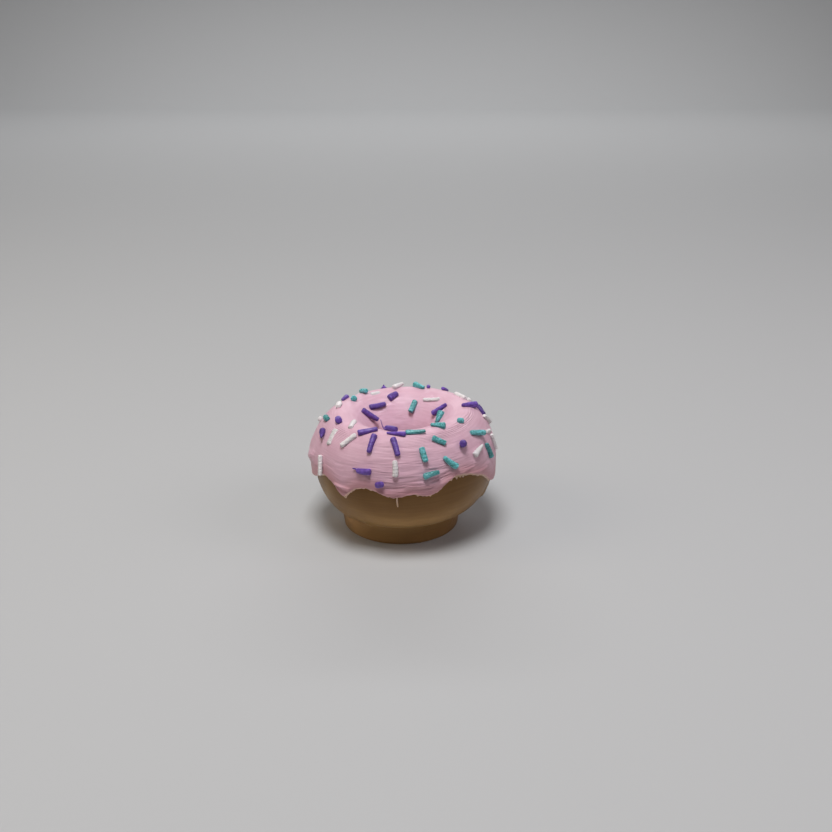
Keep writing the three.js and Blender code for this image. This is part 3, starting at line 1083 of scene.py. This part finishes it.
class DOUGHNUT_OT_sprinkles(bpy.types.Operator):
    """The rod sprinkles, one piece for each colour"""

    bl_idname = "doughnut.sprinkles"
    bl_label = "Sprinkles"

    sides = 18
    rings = 34
    end_rings = 5
    bluntness = 0.62  # of a rod's ends, where 1 is a half ball
    back_size = 5
    groove = 0.2  # half a groove's width, in layers
    stretch = 1.1  # millimetres of a layer that are as wide as each other
    unevenness = 0.54  # of such stretches, in depths of a groove
    flat_share = 0.35  # of the grooves that is left on a rod's upper side
    tapers = (-0.07, 0.07)
    # Drawn at random for each rod: how much narrower its ends are, bow in millimetres and flatness.
    spreads = ((-0.02, 0.08), (-0.12, 0.12), (0.88, 1))

    def model_rod(self):
        """One rod as a pattern: 1 in radius, its shaft from -1 to 1, its ends a unit longer."""
        ends = np.radians(np.linspace(90, 0, self.end_rings + 1))[1:]
        lower = list(zip(-1 - np.sin(ends), np.cos(ends) ** self.bluntness))
        levels = lower + [(level, 1) for level in np.linspace(-1, 1, self.rings)[1:]]
        levels += [(-level, wide) for level, wide in lower[-2::-1]]
        deselect()
        bpy.ops.mesh.primitive_circle_add(
            vertices=self.sides, radius=levels[0][1], location=(0, 0, levels[0][0]), fill_type="TRIFAN"
        )
        rod = bpy.context.object
        bpy.ops.object.transform_apply(location=True)
        bpy.ops.object.mode_set(mode="EDIT")
        bpy.ops.mesh.flip_normals()
        bpy.ops.mesh.select_all(action="DESELECT")
        bpy.ops.mesh.select_mode(type="EDGE")
        bpy.ops.mesh.select_non_manifold()
        for (low, narrow), (high, wide) in zip(levels, levels[1:]):
            bpy.ops.mesh.extrude_region_move(TRANSFORM_OT_translate={"value": (0, 0, high - low)})
            if wide != narrow:
                grow = wide / narrow
                bpy.ops.transform.resize(value=(grow, grow, 1), center_override=(0, 0, high))
        bpy.ops.mesh.edge_face_add()
        bpy.ops.mesh.poke()
        bpy.ops.object.mode_set(mode="OBJECT")
        points = coordinates(rod)
        tips = np.hypot(points[:, 0], points[:, 1]) < 1e-4
        points[tips, 2] = np.sign(points[tips, 2]) * 2
        place_vertices(rod, points)
        edit(rod, FACE_OUT)
        return rod

    def directions(self, rod):
        """The way out of the surface under a rod, along its axis, to its side and to its upper side."""
        top = bpy.context.scene.doughnut_icing.top

        def way(around, down):
            ahead = ring_point(rod.around + around, rod.down + down, top)
            step = ahead - ring_point(rod.around - around, rod.down - down, top)
            return step / np.linalg.norm(step)

        along, below = way(1, 0), way(0, 1)
        out = -np.cross(along, below)
        turn, tilt = np.radians(rod.turn), np.radians(rod.tilt)
        axis = (along * np.cos(turn) + below * np.sin(turn)) * np.cos(tilt) + out * np.sin(tilt)
        side = np.cross(axis, out)
        side /= np.linalg.norm(side)
        return out, axis, side, np.cross(side, axis)

    def rod_points(self, pattern, rod, draw):
        """The pattern's points, moved to where a rod lies."""
        sprinkles = bpy.context.scene.doughnut_sprinkles
        out, axis, side, up = self.directions(rod)
        tilt, size = np.radians(rod.tilt), rod.size * MM
        lower_end = sprinkles.seat * np.cos(tilt) - sprinkles.burial * np.sin(tilt)
        middle = ring_point(rod.around, rod.down, coat_height(rod.around, rod.down) - rod.sunk * MM)
        middle = middle + out * (lower_end + np.sin(tilt) * size / 2)

        taper = draw.uniform(*self.tapers) if rod.taper is None else rod.taper
        narrow, bow, flat = (draw.uniform(*spread) for spread in self.spreads)
        if rod.narrow is not None:
            narrow = rod.narrow
        shaft = np.clip(pattern[:, 2], -1, 1)
        along = shaft * (size / 2 - sprinkles.end) + (pattern[:, 2] - shaft) * sprinkles.end
        radius = sprinkles.radius * rod.girth * (1 + taper * shaft - narrow * shaft**2)
        sideways = pattern[:, 0] * radius + bow * MM * (1 - shaft**2)
        upwards = pattern[:, 1] * radius * flat
        return in_place(middle + along[:, None] * axis + sideways[:, None] * side + upwards[:, None] * up)

    def groove_layers(self, obj, depth):
        """Presses the print's layers into the rods, and makes short stretches of each layer a little
        wider or narrower."""
        settings = bpy.context.scene.doughnut_print
        points, outward = coordinates(obj), normals(obj)
        level = turned(points, -bpy.context.scene.doughnut_ring.lean)[:, 2] / settings.layer
        groove = bell(np.abs(level - np.round(level)), self.groove)
        # Factors that give neighbouring stretches unlike numbers.
        stretch = np.floor(points / (self.stretch * MM)) @ np.array((12.9898, 78.233, 37.719))
        uneven = self.unevenness * np.sin(stretch + 4.1 * np.floor(level))
        steep = np.sqrt(np.clip(1 - outward[:, 2] ** 2, 0, 1))
        share = self.flat_share + (1 - self.flat_share) * steep
        move = depth * settings.rod_groove * (uneven - groove) * share
        place_vertices(obj, points + outward * move[:, None])

    def back_rods(self):
        """Rods spread evenly over the back."""
        sprinkles = bpy.context.scene.doughnut_sprinkles
        for index in range(sprinkles.back_count):
            turn = index * sprinkles.golden_angle
            share = (index + 0.5) / sprinkles.back_count
            down = sprinkles.back_highest + (sprinkles.back_lowest - sprinkles.back_highest) * share
            around = sprinkles.back_from + sprinkles.back_span * (turn / 360 % 1)
            yield Rod(around, down, -turn, self.back_size, 0)

    def join_rods(self, name, pattern, rods, draw):
        """Copies of the pattern for some rods, joined in one piece."""
        copies = []
        for rod in rods:
            copy = bpy.data.objects.new("rod", pattern.data.copy())
            bpy.context.scene.collection.objects.link(copy)
            place_vertices(copy, self.rod_points(coordinates(pattern), rod, draw))
            copies.append(copy)
        select(*copies)
        bpy.ops.object.join()
        piece = named(name)
        edit(piece, FACE_OUT)
        return piece

    def execute(self, context):
        # Each colour's rods, roughness, size and softness of its patches, and depth of its grooves.
        colours = {
            "purple": (PURPLE_RODS, 0.38, 1400.0, 0.22, 1),
            "teal": (TEAL_RODS, 0.38, 2200.0, 0.17, 1),
            "white": (WHITE_RODS, 0.42, 1400.0, 0.3, 1.4),
        }
        pattern = self.model_rod()
        back = list(self.back_rods())
        draw = random_draw(3)
        for index, (name, (table, *finish, depth)) in enumerate(colours.items()):
            rods = [Rod(*row) for row in table] + back[index :: len(colours)]
            piece = self.join_rods("sprinkles_" + name, pattern, rods, draw)
            self.groove_layers(piece, depth)
            # Each rod's tone, its painted light and shade, for the material to read.
            store(piece, "rod_tone", np.repeat([rod.tone for rod in rods], len(pattern.data.vertices)))
            finish_piece(piece, rod_material(name, *finish))
        bpy.data.meshes.remove(pattern.data)
        return {"FINISHED"}


class DOUGHNUT_OT_threads(bpy.types.Operator):
    """Thin threads of plastic: one hangs from the icing's edge, one curls up by the hole"""

    bl_idname = "doughnut.threads"
    bl_label = "Threads"

    def thread(self, name, root, table):
        """A thread from its root on, made from a curve with a round bevel."""
        thickness = table[0][3]
        deselect()
        bpy.ops.curve.primitive_nurbs_path_add()
        curve = bpy.context.object.data
        spline = curve.splines[0]
        spline.points.add(len(table) - len(spline.points))
        for point, (*step, radius) in zip(spline.points, table):
            point.co = (*(in_place(root) + np.array(step) * MM), 1)
            point.radius = radius / thickness
        spline.use_endpoint_u = True
        spline.order_u = 3
        curve.bevel_depth = thickness * MM
        curve.bevel_resolution = 3
        curve.resolution_u = 8
        curve.use_fill_caps = True
        bpy.ops.object.convert(target="MESH")
        obj = named(name)
        edit(obj, (bpy.ops.mesh.remove_doubles, {"threshold": JOIN_WITHIN / 2}), FACE_OUT)
        return obj

    def execute(self, context):
        icing = context.scene.doughnut_icing
        sprinkles = context.scene.doughnut_sprinkles
        finish = {"roughness": 0.4, "bump": 0.000002}
        around, above_edge = -3.6, 1.5
        root = ring_point(around, outer_edge(np.array((around,)))[0] - above_edge, 0.35 * MM)
        hanging = self.thread("hanging_thread", root, HANGING)
        material, _ = plastic("thread_plastic", icing.thread, icing.fringe, patch=400.0, **finish)
        finish_piece(hanging, material)

        # It rises off the left end of a purple rod on the crown.
        root = ring_point(-14, -9.5, icing.top + 0.3 * MM)
        curled = self.thread("curled_thread", root, CURLED)
        material, _ = plastic("curl_plastic", sprinkles.curl, sprinkles.purple, patch=500.0, **finish)
        finish_piece(curled, material)
        return {"FINISHED"}


class DOUGHNUT_OT_studio(bpy.types.Operator):
    """A plain floor that sweeps up behind, soft light and the camera"""

    bl_idname = "doughnut.studio"
    bl_label = "Studio"

    half_width = 2.5
    near, far = -2, 1.2  # the floor's ends in front and behind
    wall = (0, 0.05, 1.6)  # from its far end up
    bend = 0.14

    def pick_far_edge(self, floor):
        """Selects the edge along which the floor turns up."""
        for edge in floor.data.edges:
            edge.select = all(abs(floor.data.vertices[end].co.y - self.far) < MM for end in edge.vertices)

    def sweep(self):
        """The floor, whose far edge turns up in a wide bend."""
        deselect()
        bpy.ops.mesh.primitive_plane_add(size=1)
        floor = named("floor")
        corners = [(x, y, 0) for y in (self.near, self.far) for x in (-self.half_width, self.half_width)]
        place_vertices(floor, np.array(corners))
        edit(
            floor,
            (bpy.ops.mesh.select_mode, {"type": "EDGE"}),
            (bpy.ops.mesh.select_all, {"action": "DESELECT"}),
        )
        extrude = (bpy.ops.mesh.extrude_region_move, {"TRANSFORM_OT_translate": {"value": self.wall}})
        bevel = (bpy.ops.mesh.bevel, {"offset": self.bend, "segments": 24, "affect": "EDGES"})
        for step in (extrude, bevel):
            self.pick_far_edge(floor)
            edit(floor, step, select_all=False)
        bpy.ops.object.shade_smooth()
        deselect()
        floor.data.materials.append(floor_material())

    def light(self, name, place, aim, size, power, tint, spread=180):
        """A lamp with a rectangular face, turned to a point."""
        deselect()
        bpy.ops.object.light_add(type="AREA", location=place)
        lamp = named(name)
        lamp.rotation_euler = (Vector(aim) - Vector(place)).to_track_quat("-Z", "Y").to_euler()
        lamp.data.shape = "RECTANGLE"
        lamp.data.size, lamp.data.size_y = size
        lamp.data.energy = power
        lamp.data.color = tint
        lamp.data.spread = np.radians(spread)
        lamp.visible_camera = False

    def execute(self, context):
        studio = context.scene.doughnut_studio
        deselect()
        bpy.ops.object.camera_add(location=studio.camera_place, rotation=(studio.camera_tilt, 0, 0))
        camera = named("camera")
        camera.data.sensor_width = 36
        camera.data.angle = studio.camera_view
        camera.data.clip_start = 0.005
        context.scene.camera = camera
        self.sweep()
        for lamp in LAMPS:
            self.light(*lamp)
        world = bpy.data.worlds.new("studio")
        context.scene.world = world
        world.use_nodes = True
        feed(world.node_tree.nodes["Background"], {"Color": (0.55, 0.55, 0.55, 1), "Strength": 0.05})
        context.scene.view_settings.view_transform = "Standard"
        return {"FINISHED"}


PIECES = (
    DOUGHNUT_OT_studio,
    DOUGHNUT_OT_dough,
    DOUGHNUT_OT_icing,
    DOUGHNUT_OT_fringe,
    DOUGHNUT_OT_sprinkles,
    DOUGHNUT_OT_threads,
)


class DOUGHNUT_PT_panel(bpy.types.Panel):
    """Builds the doughnut's pieces one by one"""

    bl_label = "Doughnut"
    bl_idname = "DOUGHNUT_PT_panel"
    bl_space_type = "VIEW_3D"
    bl_region_type = "UI"
    bl_category = "Doughnut"

    def draw(self, context):
        for piece in PIECES:
            self.layout.operator(piece.bl_idname)
        for name, settings in SETTINGS.items():
            box = self.layout.box()
            for key in settings.__annotations__:
                box.prop(getattr(context.scene, name), key)


CLASSES = (*SETTINGS.values(), *PIECES, DOUGHNUT_PT_panel)


def register():
    for kind in CLASSES:
        bpy.utils.register_class(kind)
    for name, settings in SETTINGS.items():
        setattr(bpy.types.Scene, name, PointerProperty(type=settings))


def unregister():
    for name in SETTINGS:
        delattr(bpy.types.Scene, name)
    for kind in reversed(CLASSES):
        bpy.utils.unregister_class(kind)


def main():
    register()
    for piece in PIECES:
        family, name = piece.bl_idname.split(".")
        getattr(getattr(bpy.ops, family), name)()


if __name__ == "__main__":
    main()
